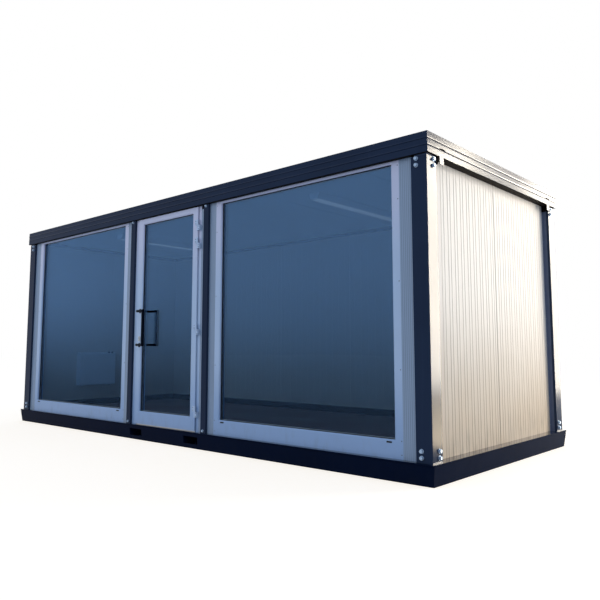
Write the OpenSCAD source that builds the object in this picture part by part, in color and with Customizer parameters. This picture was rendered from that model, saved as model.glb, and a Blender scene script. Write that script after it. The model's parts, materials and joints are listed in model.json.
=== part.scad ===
// Site cabin with a glazed front: folded steel base and roof frames, bolted corner
// posts, sandwich wall panels, two fixed windows and an outward opening glazed door.
// Millimetres, +Z up. The origin is on the ground under the middle of the base frame,
// the front faces -Y, and the door is hinged on its right edge.

/* [Overall] */
// Length over the base frame
cabin_l = 6058; // [5000:1:7500]
// Depth over the base frame
cabin_d = 2438; // [2000:1:3000]
// Height from the ground to the top of the roof frame
cabin_h = 2438; // [2400:1:3000]

/* [Base frame] */
// Height of the base beams
base_h = 150; // [130:5:200]
// Thickness of the folded base sheet
base_t = 4; // [3:0.5:6]
// How far a beam leans in from its top lip down to the ground
base_taper = 20; // [5:1:35]
// Width of the bottom flange that carries the joists
base_foot = 70; // [50:5:100]
// Height of the upright lip along a beam's top edge
base_lip = 10; // [8:1:20]
// Distance between floor joists
joist_pitch = 600; // [400:50:800]
// Width of a floor joist
joist_w = 50; // [40:5:80]
// Thickness of the floor board with its covering
floor_t = 22; // [16:1:30]
// Height of the floor above the base beams
floor_rise = 5; // [2:1:15]

/* [Fork pockets] */
// Distance between the middles of the two pockets
pocket_pitch = 890; // [700:10:1000]
// Clear width of a pocket
pocket_w = 205; // [150:5:250]
// Clear height of a pocket
pocket_h = 68; // [50:2:80]
// Height of a pocket's floor above the ground
pocket_z = 40; // [30:1:55]
// Wall of a pocket's tube
pocket_t = 4; // [3:0.5:6]

/* [Posts] */
// Width of each face of a corner post
post_w = 130; // [100:5:180]
// Set-back of the posts from the edge of the base frame
post_inset = 27; // [20:1:40]
// Thickness of the folded post sheet
post_t = 4; // [3:0.5:6]
// Depth of the lip folded back along a post's edge
post_lip = 22; // [12:1:40]
// Open joint between a post and the roof frame
post_gap = 14; // [5:1:30]
// Width of the notch in a post's side face, below the roof frame
notch_w = 52; // [20:1:60]
// Height of that notch
notch_h = 55; // [30:1:80]
// Width of a door post
mid_post_w = 70; // [50:5:100]
// Clear width between the two door posts
door_bay = 1144; // [1130:1:1400]
// Length of a corner bracket inside a post's end
bracket_l = 104; // [80:1:150]
// Thickness of a corner bracket
bracket_t = 8; // [5:1:12]

/* [Roof frame] */
// Height of the stepped roof beams
roof_h = 150; // [130:5:200]
// Thickness of the folded roof sheet
roof_t = 3; // [2:0.5:4]
// Set-back of the roof frame from the edge of the base frame
roof_inset = 5; // [0:1:15]
// Depth of one step of the fascia
step_in = 4; // [3:1:14]
// Height of the fascia's top band
band_h = 40; // [35:1:55]
// Height of the band between the two beads
band_gap = 28; // [12:1:32]
// Height of a sloping bead
bead_h = 12; // [10:1:20]
// Height of the shadow groove under a bead
groove_h = 8; // [6:1:14]
// Width of the flat cap on top of a roof beam
cap_w = 60; // [40:5:90]
// Depth of the upstand from the cap to the roof sheet's ledge
cap_drop = 45; // [40:1:60]
// Width of the ledge under the roof sheet
ledge_w = 46; // [30:2:60]
// Height of the ceiling shelf above the wall heads
shelf_rise = 30; // [15:1:45]
// Width of the ceiling shelf
shelf_w = 32; // [20:1:50]
// Width and height of an overflow slot in the end beams
overflow = [80, 12]; // [8:1:80]
// Distance of an overflow slot from the long side
overflow_in = 175; // [150:1:400]
// Width of the tab that hangs from an end beam beside each corner post
tab_w = 58; // [30:1:80]
// Length of that tab
tab_h = 55; // [30:1:80]
// Distance of the tab from the post
tab_gap = 20; // [10:1:40]
// Thickness of the roof sheet
sheet_t = 1.2; // [0.8:0.1:2]
// Distance between the ribs of the roof sheet
sheet_pitch = 207; // [150:1:300]
// Height of those ribs
sheet_rib = 28; // [15:1:35]
// Thickness of the ceiling panel
ceiling_t = 60; // [40:5:65]

/* [Wall panels] */
// Thickness of the sandwich panels
panel_t = 60; // [40:5:80]
// Set-back of the panels from the face of the posts
panel_recess = 60; // [40:5:70]
// Distance between the pairs of grooves in a panel's outer sheet
rib_pitch = 101; // [70:1:150]
// Distance between the two grooves of a pair
rib_w = 40; // [20:1:50]
// Width of a groove
groove_w = 6; // [3:1:12]
// Depth of a groove
groove_d = 2; // [1:0.5:4]
// Distance of the side walls' panel joint from the middle, towards the front
side_joint = 19; // [0:1:100]
// Chamfer along both edges of a panel joint
joint_chamfer = 5; // [2:1:8]
// Reach of the tongue at a panel joint
tongue = 8; // [4:1:12]
// Open joint between two panels
panel_gap = 2; // [0.5:0.5:4]
// Width of the flashing strips at the ends of the ribbed walls
flashing_foot = 24; // [15:1:30]
// Thickness of a flashing
flashing_t = 2; // [1:0.5:3]
// Height of the skirting boards
skirting_h = 75; // [50:5:100]
// Thickness of the skirting boards
skirting_t = 12; // [8:1:18]

/* [Front windows] */
// Set-back of the frames from the face of the posts
front_recess = 23; // [15:1:40]
// Width of the filler strip beside a corner post
filler_outer = 117; // [60:1:200]
// Width of the filler strip beside a door post
filler_inner = 88; // [30:1:120]
// Height of the notch at the head of the strip between the door frame and its post
filler_notch = 35; // [20:1:60]
// Width of a window's stiles
stile_w = 70; // [60:1:110]
// Height of a window's bottom rail with its sill
sill_rail = 130; // [90:1:180]
// Visible height of a window's top rail
head_rail = 20; // [20:1:80]
// Depth of the window and door frames
frame_depth = 70; // [60:2:82]
// Set-back of the glass from the face of a window frame
glass_inset = 25; // [18:1:30]
// Thickness of a sealed glass unit
glass_t = 24; // [20:1:28]
// How far the glass reaches into its frame
glass_bite = 14; // [8:1:18]
// Chamfer around the glass
bevel = 7; // [3:1:10]

/* [Door] */
// Width of the leaf
leaf_w = 975; // [800:1:990]
// Distance of the leaf's lock edge from the left door post
leaf_left = 74; // [60:1:76]
// Distance of the hinge jamb's outer edge from the right door post
door_filler = 56; // [30:1:60]
// Gap between the leaf and the roof frame above it
leaf_top_gap = 8; // [6:1:20]
// Gap between the leaf and the base frame below it
leaf_foot_gap = 8; // [6:1:20]
// Width of the leaf's stiles
leaf_stile = 76; // [70:1:110]
// Height of the leaf's bottom rail
leaf_kick = 127; // [90:1:180]
// Height of the leaf's top rail
leaf_head = 56; // [50:1:110]
// Set-back of the glass from the face of the leaf
leaf_glass_inset = 21; // [15:1:25]
// Thickness of the lip that covers the joint with the frame
lip_t = 11; // [8:1:15]
// Width of that lip
lip_w = 20; // [20:1:30]
// How far the lip covers the frame
lip_cover = 12; // [10:1:12]
// Running gap between the closed leaf and its frame
run_gap = 5; // [5:0.5:8]
// Width of the stop behind the leaf
stop_w = 14; // [12:1:16]
// Height of the threshold
threshold_h = 20; // [12:1:30]
// How far the door stands open, in degrees
door_open = 0; // [0:1:110]

/* [Door fittings] */
// Heights of the two lower hinges' middles above the foot of the leaf
hinge_up = [177, 942]; // [100:1:1000]
// Distances of the two upper hinges' middles from the top of the leaf
hinge_down = [355, 180]; // [100:1:900]
// Height of a hinge's barrel
hinge_h = 100; // [80:2:160]
// Radius of a hinge's barrel
hinge_r = 8; // [7:0.5:12]
// Radius of a hinge's pin
pin_r = 4; // [3:0.5:5]
// Radial clearance of the pin
pin_fit = 0.3; // [0.2:0.05:0.5]
// Height of the pull handle's middle above the ground
handle_z = 1134; // [950:1:1250]
// Distance between the handle's two arms
handle_h = 350; // [250:5:500]
// Radius of the handle's bar
handle_r = 15; // [10:1:18]
// Length of a handle's stems, from the leaf's face to the elbows
handle_stem = 36; // [20:1:45]
// Distance of the bar from the leaf's face
handle_out = 55; // [45:1:70]
// Sideways crank of the handle towards the glass
handle_crank = 130; // [0:5:150]
// Distance of the handle's arms from the leaf's lock edge
handle_edge = 49; // [49:1:60]
// Height of the lock cylinder above the ground
lock_z = 1023; // [900:1:1100]

/* [Room fittings] */
// Width, height and depth of the wall heater
heater = [535, 443, 95]; // [60:1:800]
// Height of the heater's underside above the ground
heater_z = 427; // [250:1:600]
// Distance of the heater's middle from the cabin's long axis
heater_y = -279; // [-400:1:400]
// Length, width and height of a ceiling light
light = [1500, 120, 60]; // [40:5:1500]
// Distance of each light from the middle of the cabin
light_x = 1580; // [900:5:2000]

/* [Hidden] */
$fn = 32;

// Assembly gap between neighbouring pieces that are fitted, not welded
fit = 0.5;
// Overshoot of a cutting shape past the face it cuts
cut = 1;

half_l = cabin_l / 2;
half_d = cabin_d / 2;
// Walls and posts stand on the base frame and end under the roof frame.
wall_z = [base_h, cabin_h - roof_h];
floor_z = base_h + floor_rise;
post_z = [wall_z[0], wall_z[1] - post_gap];

// Places measured inwards from the edge of the base frame
in_wall_face = post_inset + panel_recess;
in_wall_back = in_wall_face + panel_t;
in_front = post_inset + front_recess;
in_front_back = in_front + frame_depth;
in_cap = roof_inset + step_in + cap_w;
in_low_band = roof_inset + 3;

front_y = -half_d + in_front;
front_depth = [front_y, front_y + frame_depth];
filler_depth = [front_y, front_y + panel_t];

// Spans along the front, from the left to the right
door_bay_x = [-door_bay / 2, door_bay / 2];
window_x = [door_bay / 2 + mid_post_w + filler_inner, half_l - post_inset - post_w - filler_outer];
window_sight_x = [window_x[0] + stile_w, window_x[1] - stile_w];
window_sight_z = [wall_z[0] + sill_rail, wall_z[1] - head_rail];

// The leaf laps over its frame, which the jambs fill out to the door posts.
leaf_x = [door_bay_x[0] + leaf_left, door_bay_x[0] + leaf_left + leaf_w];
leaf_z = [wall_z[0] + leaf_foot_gap, wall_z[1] - leaf_top_gap];
leaf_face = front_y - run_gap - lip_t;
leaf_back = leaf_face + frame_depth;
leaf_sight_x = [leaf_x[0] + leaf_stile, leaf_x[1] - leaf_stile];
leaf_sight_z = [leaf_z[0] + leaf_kick, leaf_z[1] - leaf_head];
door_frame_x = [door_bay_x[0] + fit, door_bay_x[1] - door_filler];
door_way_x = [leaf_x[0] + lip_cover, leaf_x[1] - lip_cover];
door_way_top = leaf_z[1] - lip_cover;
stop_face = leaf_back + run_gap;

// The hinge line stands clear of the leaf's edge and face.
hinge_x = leaf_x[1] + hinge_r + 1.5;
hinge_y = leaf_face - hinge_r;
hinge_middles = concat(
  [for (rise = hinge_up) leaf_z[0] + rise],
  [for (drop = hinge_down) leaf_z[1] - drop]
);

// The side walls run past the back wall and stop behind the front fillers.
side_front_end = -front_y - panel_t - fit;
side_back_end = half_d - in_wall_face;
// Half the stretch of wall between two corner posts, and the part the flashings leave open
side_bay = half_d - post_inset - post_w;
back_bay = half_l - post_inset - post_w;
flashing_cover = flashing_foot - post_t - fit - flashing_t;
side_open = side_bay - flashing_cover;
back_open = back_bay - flashing_cover;

// ---- Helpers ----

// A box given by its low and high value along each axis
module slab(x, y, z) {
  translate([x[0], y[0], z[0]])
    cube([x[1] - x[0], y[1] - y[0], z[1] - z[0]]);
}

function grow(span, by) = [span[0] - by, span[1] + by];
function flip(span) = [-span[1], -span[0]];
function direction(a, b) = (b - a) / norm(b - a);
function to_left(v) = [-v.y, v.x];

// The point of a bent sheet's second face that lies opposite point i of its first face
function second_face(path, i, t) =
  let (
    last = len(path) - 1,
    before = direction(path[max(i - 1, 0)], path[max(i, 1)]),
    after = direction(path[min(i, last - 1)], path[min(i + 1, last)]),
    n = to_left(before) + to_left(after)
  )
  path[i] + n * (2 * t / (n * n));

// Section of a folded sheet: one face follows the path, the other lies t to its left
module folded_sheet(path, t) {
  last = len(path) - 1;
  polygon(concat(path, [for (i = [last:-1:0]) second_face(path, i, t)]));
}

// Extrudes a section of (inward, up) points along the front edge of a ring and cuts both
// ends on the corners' diagonals; run is the side's length, reach its distance out.
module mitred_beam(run, reach) {
  depth = 400;
  intersection() {
    translate([-run / 2, -reach, 0])
      rotate([90, 0, 90])
        linear_extrude(run)
          children();
    translate([0, 0, -cut])
      linear_extrude(cabin_h + 2 * cut)
        polygon([
          [-run / 2, -reach], [run / 2, -reach],
          [run / 2 - depth, depth - reach], [depth - run / 2, depth - reach]
        ]);
  }
}

module on_front() { children(); }
module on_back() { rotate([0, 0, 180]) children(); }
module on_right() { rotate([0, 0, 90]) children(); }
module on_left() { rotate([0, 0, -90]) children(); }

// Carries a shape made for the front right corner to one of the four corners
module at_corner(x, y) {
  scale([x, -y, 1]) children();
}

// A straight round rod between two points
module rod(a, b, r) {
  d = b - a;
  translate(a)
    rotate([0, acos(d.z / norm(d)), atan2(d.y, d.x)])
      cylinder(h = norm(d), r = r);
}

// ---- Base frame ----

// A leaning outer web with an upright lip on top, a foot for the joists, and a wide top
// flange that reaches under the walls and ends in a short downward fold
module base_section() {
  flange = in_wall_back - 2;
  path = [
    [base_taper + base_foot, 0],
    [base_taper, 0],
    [6, base_h - base_lip - 4],
    [0, base_h - base_lip],
    [0, base_h],
    [flange, base_h],
    [flange, base_h - 14]
  ];
  folded_sheet(path, -base_t);
}

module pocket_places() {
  for (side = [-1, 1])
    translate([side * pocket_pitch / 2, 0, pocket_z])
      children();
}

module pocket_outline(extra) {
  wall = pocket_t + extra;
  translate([-pocket_w / 2 - wall, -wall])
    square([pocket_w + 2 * wall, pocket_h + 2 * wall]);
}

module base_long_beam() {
  color("#20242f")
    difference() {
      mitred_beam(cabin_l, half_d) base_section();
      pocket_places()
        translate([0, -half_d + 40, 0])
          rotate([90, 0, 0])
            linear_extrude(60)
              pocket_outline(fit / 2);
    }
}

module base_end_beam() {
  color("#20242f")
    mitred_beam(cabin_d, half_l) base_section();
}

module base_front_beam() { on_front() base_long_beam(); }
module base_back_beam() { on_back() base_long_beam(); }
module base_left_beam() { on_left() base_end_beam(); }
module base_right_beam() { on_right() base_end_beam(); }

// Two rectangular tubes that carry the forks from the front beam to the back beam, their
// ends cut to the lean of the beams
module fork_pocket_tubes() {
  lean = (base_taper - 6) / (base_h - base_lip - 4);
  end_low = half_d - base_taper - 1;
  color("#20242f")
    pocket_places()
      intersection() {
        rotate([90, 0, 0])
          linear_extrude(cabin_d, center = true)
            difference() {
              pocket_outline(0);
              pocket_outline(-pocket_t);
            }
        translate([-pocket_w, 0, -pocket_z])
          rotate([90, 0, 90])
            linear_extrude(2 * pocket_w)
              polygon([
                [-end_low, 0], [end_low, 0],
                [end_low + lean * base_h, base_h], [-end_low - lean * base_h, base_h]
              ]);
      }
}

// Channels laid across the foot flanges of the long beams
module floor_joists() {
  depth = floor_z - floor_t - base_t;
  run = cabin_d - 2 * (base_taper + base_t + 1);
  clear_x = half_l - in_wall_back - joist_w;
  count = floor(clear_x / joist_pitch);
  path = [
    [joist_w / 2, 14], [joist_w / 2, 0], [-joist_w / 2, 0],
    [-joist_w / 2, depth], [joist_w / 2, depth], [joist_w / 2, depth - 14]
  ];
  color("#8d9297")
    for (i = [-count:count])
      translate([i * joist_pitch, 0, base_t])
        rotate([90, 0, 0])
          linear_extrude(run, center = true)
            folded_sheet(path, -3);
}

module floor_deck() {
  edge_x = half_l - in_wall_back - 2;
  edge_y = half_d - in_wall_back - 2;
  color("#4a443e")
    slab([-edge_x, edge_x], [-edge_y, edge_y], [floor_z - floor_t, floor_z]);
}

// ---- Posts ----

// Angle plates inside the end of each corner post, which the post is bolted to
module corner_brackets(z) {
  leg = post_w - 30;
  outside = [half_l - post_inset - post_t, -half_d + post_inset + post_t];
  color("#16181d")
    for (x = [-1, 1], y = [-1, 1])
      at_corner(x, y)
        translate([outside.x, outside.y, z[0]])
          linear_extrude(z[1] - z[0])
            folded_sheet([[-leg, 0], [0, 0], [0, leg]], bracket_t);
}

module base_corner_brackets() { corner_brackets([wall_z[0], wall_z[0] + bracket_l]); }
module roof_corner_brackets() { corner_brackets([wall_z[1] - bracket_l, wall_z[1]]); }

// A folded angle with a lip along both edges and a notch at the head of its side face
module corner_post(x, y) {
  color("#232c40")
    at_corner(x, y)
      translate([half_l - post_inset, -half_d + post_inset, post_z[0]])
        difference() {
          linear_extrude(post_z[1] - post_z[0])
            folded_sheet([
              [-post_w, post_lip], [-post_w, 0], [0, 0], [0, post_w], [-post_lip, post_w]
            ], post_t);
          slab([-post_lip - cut, cut], [post_w - notch_w, post_w + cut],
            [post_z[1] - post_z[0] - notch_h + post_gap, post_z[1]]);
        }
}

module corner_post_front_left() { corner_post(-1, -1); }
module corner_post_front_right() { corner_post(1, -1); }
module corner_post_back_left() { corner_post(-1, 1); }
module corner_post_back_right() { corner_post(1, 1); }

// A folded channel beside the door, closed towards the front
module door_post(x) {
  depth = in_front_back - post_inset;
  color("#232c40")
    translate([x, -half_d + post_inset, post_z[0]])
      linear_extrude(wall_z[1] - post_z[0])
        folded_sheet([
          [20, depth], [0, depth], [0, 0], [mid_post_w, 0], [mid_post_w, depth],
          [mid_post_w - 20, depth]
        ], post_t);
}

module door_post_left() { door_post(door_bay_x[0] - mid_post_w); }
module door_post_right() { door_post(door_bay_x[1]); }

// ---- Roof frame ----

// One bead of the fascia: it slopes out, turns under and falls back into a shadow groove
function bead(z, in) = [
  [roof_inset + step_in, z],
  [roof_inset, z - bead_h + 2],
  [roof_inset + 5, z - bead_h],
  [in, z - bead_h - groove_h]
];

// From the ledge of the roof sheet over the upstand and the flat cap, down the stepped
// fascia, along the flange over the walls and up to the shelf that carries the ceiling
module roof_section() {
  top = cabin_h;
  low = wall_z[1];
  in_band = roof_inset + step_in;
  upper_bead = top - band_h;
  lower_bead = upper_bead - bead_h - groove_h - band_gap;
  path = concat(
    [[in_cap + ledge_w, top - cap_drop], [in_cap, top - cap_drop], [in_cap, top], [in_band, top]],
    bead(upper_bead, in_band),
    bead(lower_bead, in_low_band),
    [
      [in_low_band, low], [in_wall_back, low], [in_wall_back, low + shelf_rise],
      [in_wall_back + shelf_w, low + shelf_rise]
    ]
  );
  folded_sheet(path, roof_t);
}

module roof_long_beam() {
  color("#232c40")
    mitred_beam(cabin_l, half_d) roof_section();
}

// The end beams have an overflow slot through the lower bead near each corner, and a tab
// that hangs down beside each corner post.
module roof_end_beam() {
  slot_z = cabin_h - band_h - band_gap - 1.5 * bead_h - groove_h;
  tab_end = side_bay - tab_gap;
  tab_face = -half_l + in_low_band;
  color("#232c40") {
    difference() {
      mitred_beam(cabin_d, half_l) roof_section();
      for (side = [-1, 1])
        translate([side * (half_d - overflow_in - overflow[0] / 2), -half_l + 10, slot_z])
          cube([overflow[0], 24, overflow[1]], center = true);
    }
    for (span = [[tab_end - tab_w, tab_end], [-tab_end, tab_w - tab_end]])
      slab(span, [tab_face, tab_face + roof_t], [wall_z[1] - tab_h, wall_z[1] + roof_t]);
  }
}

module roof_front_beam() { on_front() roof_long_beam(); }
module roof_back_beam() { on_back() roof_long_beam(); }
module roof_left_beam() { on_left() roof_end_beam(); }
module roof_right_beam() { on_right() roof_end_beam(); }

// Ribbed sheet inside the upstand, resting on the ledge of the four beams
module roof_sheet() {
  edge_x = half_l - in_cap - 3;
  edge_y = half_d - in_cap - 3;
  side = floor((edge_x - 60) / sheet_pitch);
  rib = [[-34, 0], [-18, sheet_rib], [18, sheet_rib], [34, 0]];
  path = concat(
    [[-edge_x, 0]],
    [for (i = [-side:side], p = rib) [i * sheet_pitch + p.x, p.y]],
    [[edge_x, 0]]
  );
  color("#c9ccd0")
    translate([0, 0, cabin_h - cap_drop])
      rotate([90, 0, 0])
        linear_extrude(2 * edge_y, center = true)
          folded_sheet(path, sheet_t);
}

module ceiling_panel() {
  edge_x = half_l - in_wall_back - roof_t - 2;
  edge_y = half_d - in_wall_back - roof_t - 2;
  low = wall_z[1] + shelf_rise + roof_t;
  color("#dcdedb")
    slab([-edge_x, edge_x], [-edge_y, edge_y], [low, low + ceiling_t]);
}

// Surface fittings with sloping sides, across the cabin
module ceiling_lights() {
  top = wall_z[1] + shelf_rise + roof_t;
  w = light[1] / 2;
  color("#f0f1ee")
    for (side = [-1, 1])
      translate([side * light_x, 0, top])
        rotate([90, 0, 0])
          linear_extrude(light[0], center = true)
            polygon([
              [-w, 0], [w, 0], [w, -light[2] / 3], [w - 14, -light[2]],
              [14 - w, -light[2]], [-w, -light[2] / 3]
            ]);
}

// ---- Walls ----

// Pairs of grooves in the outer sheet, spread evenly over the stretch that shows
function groove_points(shown) =
  let (
    width = shown[1] - shown[0],
    half = groove_w / 2,
    near = rib_w / 2,
    count = floor((width - 2 * (near + groove_w + joint_chamfer)) / rib_pitch),
    first = shown[0] + (width - count * rib_pitch) / 2
  )
  [
    for (
      i = [0:count],
      p = [
        [-near - half, 0], [-near, -groove_d], [half - near, 0],
        [near - half, 0], [near, -groove_d], [near + half, 0]
      ]
    )
      [first + i * rib_pitch + p.x, panel_t + p.y]
  ];

// Lines pressed into the room side of a panel
function line_points(shown) =
  let (
    width = shown[1] - shown[0],
    count = floor((width - 60) / rib_pitch),
    first = shown[0] + (width - count * rib_pitch) / 2
  )
  [
    for (i = [0:count], p = [[-3, 0], [0, 1.5], [3, 0]])
      [first + i * rib_pitch + p.x, p.y]
  ];

// A grooved sandwich panel: u runs along the wall and v outwards from its room side.
// A tongue on the high end fits a groove on the low end of the next panel.
module wall_panel(span, shown, groove, has_tongue) {
  lo = span[0] + (groove ? panel_gap / 2 : 0);
  hi = span[1] - (has_tongue ? panel_gap / 2 : 0);
  mid = panel_t / 2;
  reach = tongue + panel_gap;
  low_end = groove
    ? [[lo, panel_t - joint_chamfer], [lo, mid + 9 + fit], [lo + tongue + fit, mid + 7 + fit],
       [lo + tongue + fit, mid - 7 - fit], [lo, mid - 9 - fit]]
    : [];
  high_end = has_tongue
    ? [[hi, mid - 9], [hi + reach - 1, mid - 7], [hi + reach - 1, mid + 7], [hi, mid + 9],
       [hi, panel_t - joint_chamfer]]
    : [];
  outer = groove_points(shown);
  color("#d8cfbd")
    translate([0, 0, wall_z[0]])
      linear_extrude(wall_z[1] - wall_z[0])
        polygon(concat(
          [[lo, 0]], line_points(shown), [[hi, 0]],
          high_end,
          [[hi - (has_tongue ? joint_chamfer : 0), panel_t]],
          [for (i = [len(outer) - 1:-1:0]) outer[i]],
          [[lo + (groove ? joint_chamfer : 0), panel_t]],
          low_end
        ));
}

module on_right_wall() {
  rotate([0, 0, -90]) translate([0, half_l - in_wall_back, 0]) children();
}

module on_left_wall() {
  rotate([0, 0, 90]) translate([0, half_l - in_wall_back, 0]) children();
}

module on_back_wall() {
  translate([0, half_d - in_wall_back, 0]) children();
}

module left_wall_panel_front() {
  on_left_wall()
    wall_panel([-side_front_end, -side_joint], [-side_open, -side_joint], false, true);
}

module left_wall_panel_back() {
  on_left_wall()
    wall_panel([-side_joint, side_back_end], [-side_joint, side_open], true, false);
}

module right_wall_panel_front() {
  on_right_wall()
    wall_panel([side_joint, side_front_end], [side_joint, side_open], true, false);
}

module right_wall_panel_back() {
  on_right_wall()
    wall_panel([-side_back_end, side_joint], [-side_open, side_joint], false, true);
}

// Five panels of one width between the back posts
module back_wall_panel(i) {
  count = 5;
  step = 2 * back_bay / count;
  edge = [(i - 1) * step - back_bay, i * step - back_bay];
  end = half_l - in_wall_back - fit;
  span = [i == 1 ? -end : edge[0], i == count ? end : edge[1]];
  shown = [max(edge[0], -back_open), min(edge[1], back_open)];
  on_back_wall() wall_panel(span, shown, i > 1, i < count);
}

module back_wall_panel_1() { back_wall_panel(1); }
module back_wall_panel_2() { back_wall_panel(2); }
module back_wall_panel_3() { back_wall_panel(3); }
module back_wall_panel_4() { back_wall_panel(4); }
module back_wall_panel_5() { back_wall_panel(5); }

// Angles that close the recess between a post's lip and the panel behind it
module wall_flashings() {
  web_v = panel_t + panel_recess - 6;
  color("#232c40") {
    for (side = [-1, 1])
      on_back_wall() flashing(side, back_bay, web_v);
    for (side = [-1, 1]) {
      on_right_wall() flashing(side, side_bay, web_v);
      on_left_wall() flashing(side, side_bay, web_v);
    }
  }
}

module flashing(side, bay, web_v) {
  web_u = bay + post_t + fit + flashing_t;
  translate([0, 0, wall_z[0]])
    scale([side, 1, 1])
      linear_extrude(wall_z[1] - wall_z[0])
        folded_sheet([
          [web_u - flashing_foot, panel_t + fit / 2], [web_u, panel_t + fit / 2], [web_u, web_v]
        ], flashing_t);
}

// Boards along the foot of the back wall and both side walls
module skirting_boards() {
  x = half_l - in_wall_back;
  y = half_d - in_wall_back;
  z = [floor_z, floor_z + skirting_h];
  color("#3a3330") {
    slab([-x, x], [y - skirting_t, y], z);
    for (side = [[-x, skirting_t - x], [x - skirting_t, x]])
      slab(side, [fit + 2 - y, y - skirting_t - fit], z);
  }
}

// ---- Front ----

// Strips of wall panel between the posts and the window and door frames; the one beside the
// door is notched at its head
module front_fillers() {
  inner = [door_bay_x[1] + mid_post_w + fit, window_x[0] - fit];
  outer = [window_x[1] + fit, half_l - in_wall_face];
  beside_door = [door_bay_x[1] - door_filler + fit, door_bay_x[1] - fit];
  notch_depth = panel_t / 2;
  color("#7f8ea3") {
    for (span = [inner, flip(inner), outer, flip(outer)])
      slab(span, filler_depth, wall_z);
    difference() {
      slab(beside_door, filler_depth, wall_z);
      slab(grow(beside_door, cut), [front_y - cut, front_y + notch_depth],
        [wall_z[1] - filler_notch, wall_z[1] + cut]);
    }
  }
}

// A hole through a frame with a chamfer round its outer and inner edge
module glazed_opening(x, y, z) {
  slab(x, grow(y, cut), z);
  flared_hole(x, [y[0] - cut, y[0] + bevel], z, bevel + cut);
  mirror([0, 1, 0])
    flared_hole(x, [-y[1] - cut, -y[1] + bevel], z, bevel + cut);
}

// A hole whose four sides close in from its first to its second depth
module flared_hole(x, y, z, flare) {
  wide_x = grow(x, flare);
  wide_z = grow(z, flare);
  intersection() {
    translate([0, 0, wide_z[0]])
      linear_extrude(wide_z[1] - wide_z[0])
        polygon([[wide_x[0], y[0]], [wide_x[1], y[0]], [x[1], y[1]], [x[0], y[1]]]);
    translate([wide_x[0], 0, 0])
      rotate([90, 0, 90])
        linear_extrude(wide_x[1] - wide_x[0])
          polygon([[y[0], wide_z[0]], [y[0], wide_z[1]], [y[1], z[1]], [y[1], z[0]]]);
  }
}

module glass_unit(x, z, face) {
  color("#4c6a86", 0.5)
    slab(grow(x, glass_bite - 2), [face + fit / 2, face + glass_t - fit / 2], grow(z, glass_bite - 2));
}

// Glass groove, cut all round the opening of a frame
module glass_groove(x, z, face) {
  slab(grow(x, glass_bite), [face, face + glass_t], grow(z, glass_bite));
}

module window_frame(x, sight_x) {
  color("#e6e9ee")
    difference() {
      slab(x, front_depth, wall_z);
      glazed_opening(sight_x, front_depth, window_sight_z);
      glass_groove(sight_x, window_sight_z, front_y + glass_inset);
    }
}

module window_left_frame() { window_frame(flip(window_x), flip(window_sight_x)); }
module window_right_frame() { window_frame(window_x, window_sight_x); }
module window_left_glass() {
  glass_unit(flip(window_sight_x), window_sight_z, front_y + glass_inset);
}
module window_right_glass() {
  glass_unit(window_sight_x, window_sight_z, front_y + glass_inset);
}

// ---- Door ----

// Two jambs and a head with a stop on their room side
module door_frame() {
  stop_x = [door_way_x[0] + stop_w, door_way_x[1] - stop_w];
  color("#e6e9ee")
    difference() {
      slab(door_frame_x, front_depth, wall_z);
      slab(door_way_x, [front_y - cut, stop_face], [wall_z[0] - cut, door_way_top]);
      slab(stop_x, [front_y, front_depth[1] + cut], [wall_z[0] - cut, door_way_top - stop_w]);
    }
}

// Low aluminium sill with a stop bar on its room side
module door_threshold() {
  bar_x = [door_way_x[0] + stop_w + fit, door_way_x[1] - stop_w - fit];
  color("#b9bdc2") {
    slab([door_way_x[0] + fit, door_way_x[1] - fit], [front_y, stop_face - fit],
      [wall_z[0], wall_z[0] + threshold_h]);
    slab(bar_x, [stop_face - fit, front_depth[1]], [wall_z[0], wall_z[0] + threshold_h]);
    slab(bar_x, [stop_face, front_depth[1]], [wall_z[0], wall_z[0] + threshold_h + 12]);
  }
}

// Turns what the leaf carries about the hinge line
module on_hinge() {
  translate([hinge_x, hinge_y, 0])
    rotate([0, 0, door_open])
      translate([-hinge_x, -hinge_y, 0])
        children();
}

// A glazed leaf whose front lip laps over the frame on all four sides
module door_leaf() {
  body_x = [leaf_x[0] + lip_w, leaf_x[1] - lip_w];
  body_z = [wall_z[0] + threshold_h + run_gap + 1, leaf_z[1] - lip_w];
  depth = [leaf_face, leaf_back];
  color("#e6e9ee")
    on_hinge() difference() {
      union() {
        slab(leaf_x, [leaf_face, leaf_face + lip_t], leaf_z);
        slab(body_x, depth, body_z);
      }
      glazed_opening(leaf_sight_x, depth, leaf_sight_z);
      glass_groove(leaf_sight_x, leaf_sight_z, leaf_face + leaf_glass_inset);
    }
}

module door_glass() {
  on_hinge() glass_unit(leaf_sight_x, leaf_sight_z, leaf_face + leaf_glass_inset);
}

// A cranked pull handle: two arms stand off the stile and lead sideways to the bar.
// Each arm has a round foot, a short stem, a ball at the elbow and a slanting rod.
module pull_handle() {
  arm_r = handle_r - 3;
  color("#17181b") {
    for (side = [-1, 1]) {
      z = side * handle_h / 2;
      elbow = [0, -handle_stem, z];
      bar_end = [handle_crank, -handle_out, z];
      translate([0, 0, z])
        rotate([90, 0, 0]) {
          cylinder(h = 6, r = handle_r + 2);
          cylinder(h = handle_stem, r = arm_r);
        }
      translate(elbow) sphere(r = arm_r + 1);
      rod(elbow, bar_end, arm_r);
      translate(bar_end) sphere(r = handle_r);
    }
    translate([handle_crank, -handle_out, -handle_h / 2])
      cylinder(h = handle_h, r = handle_r);
  }
}

// One handle on each face of the leaf
module door_handles() {
  on_hinge() {
    translate([leaf_x[0] + handle_edge, leaf_face, handle_z])
      pull_handle();
    translate([leaf_x[0] + handle_edge, leaf_back, handle_z])
      mirror([0, 1, 0]) pull_handle();
  }
}

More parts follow.
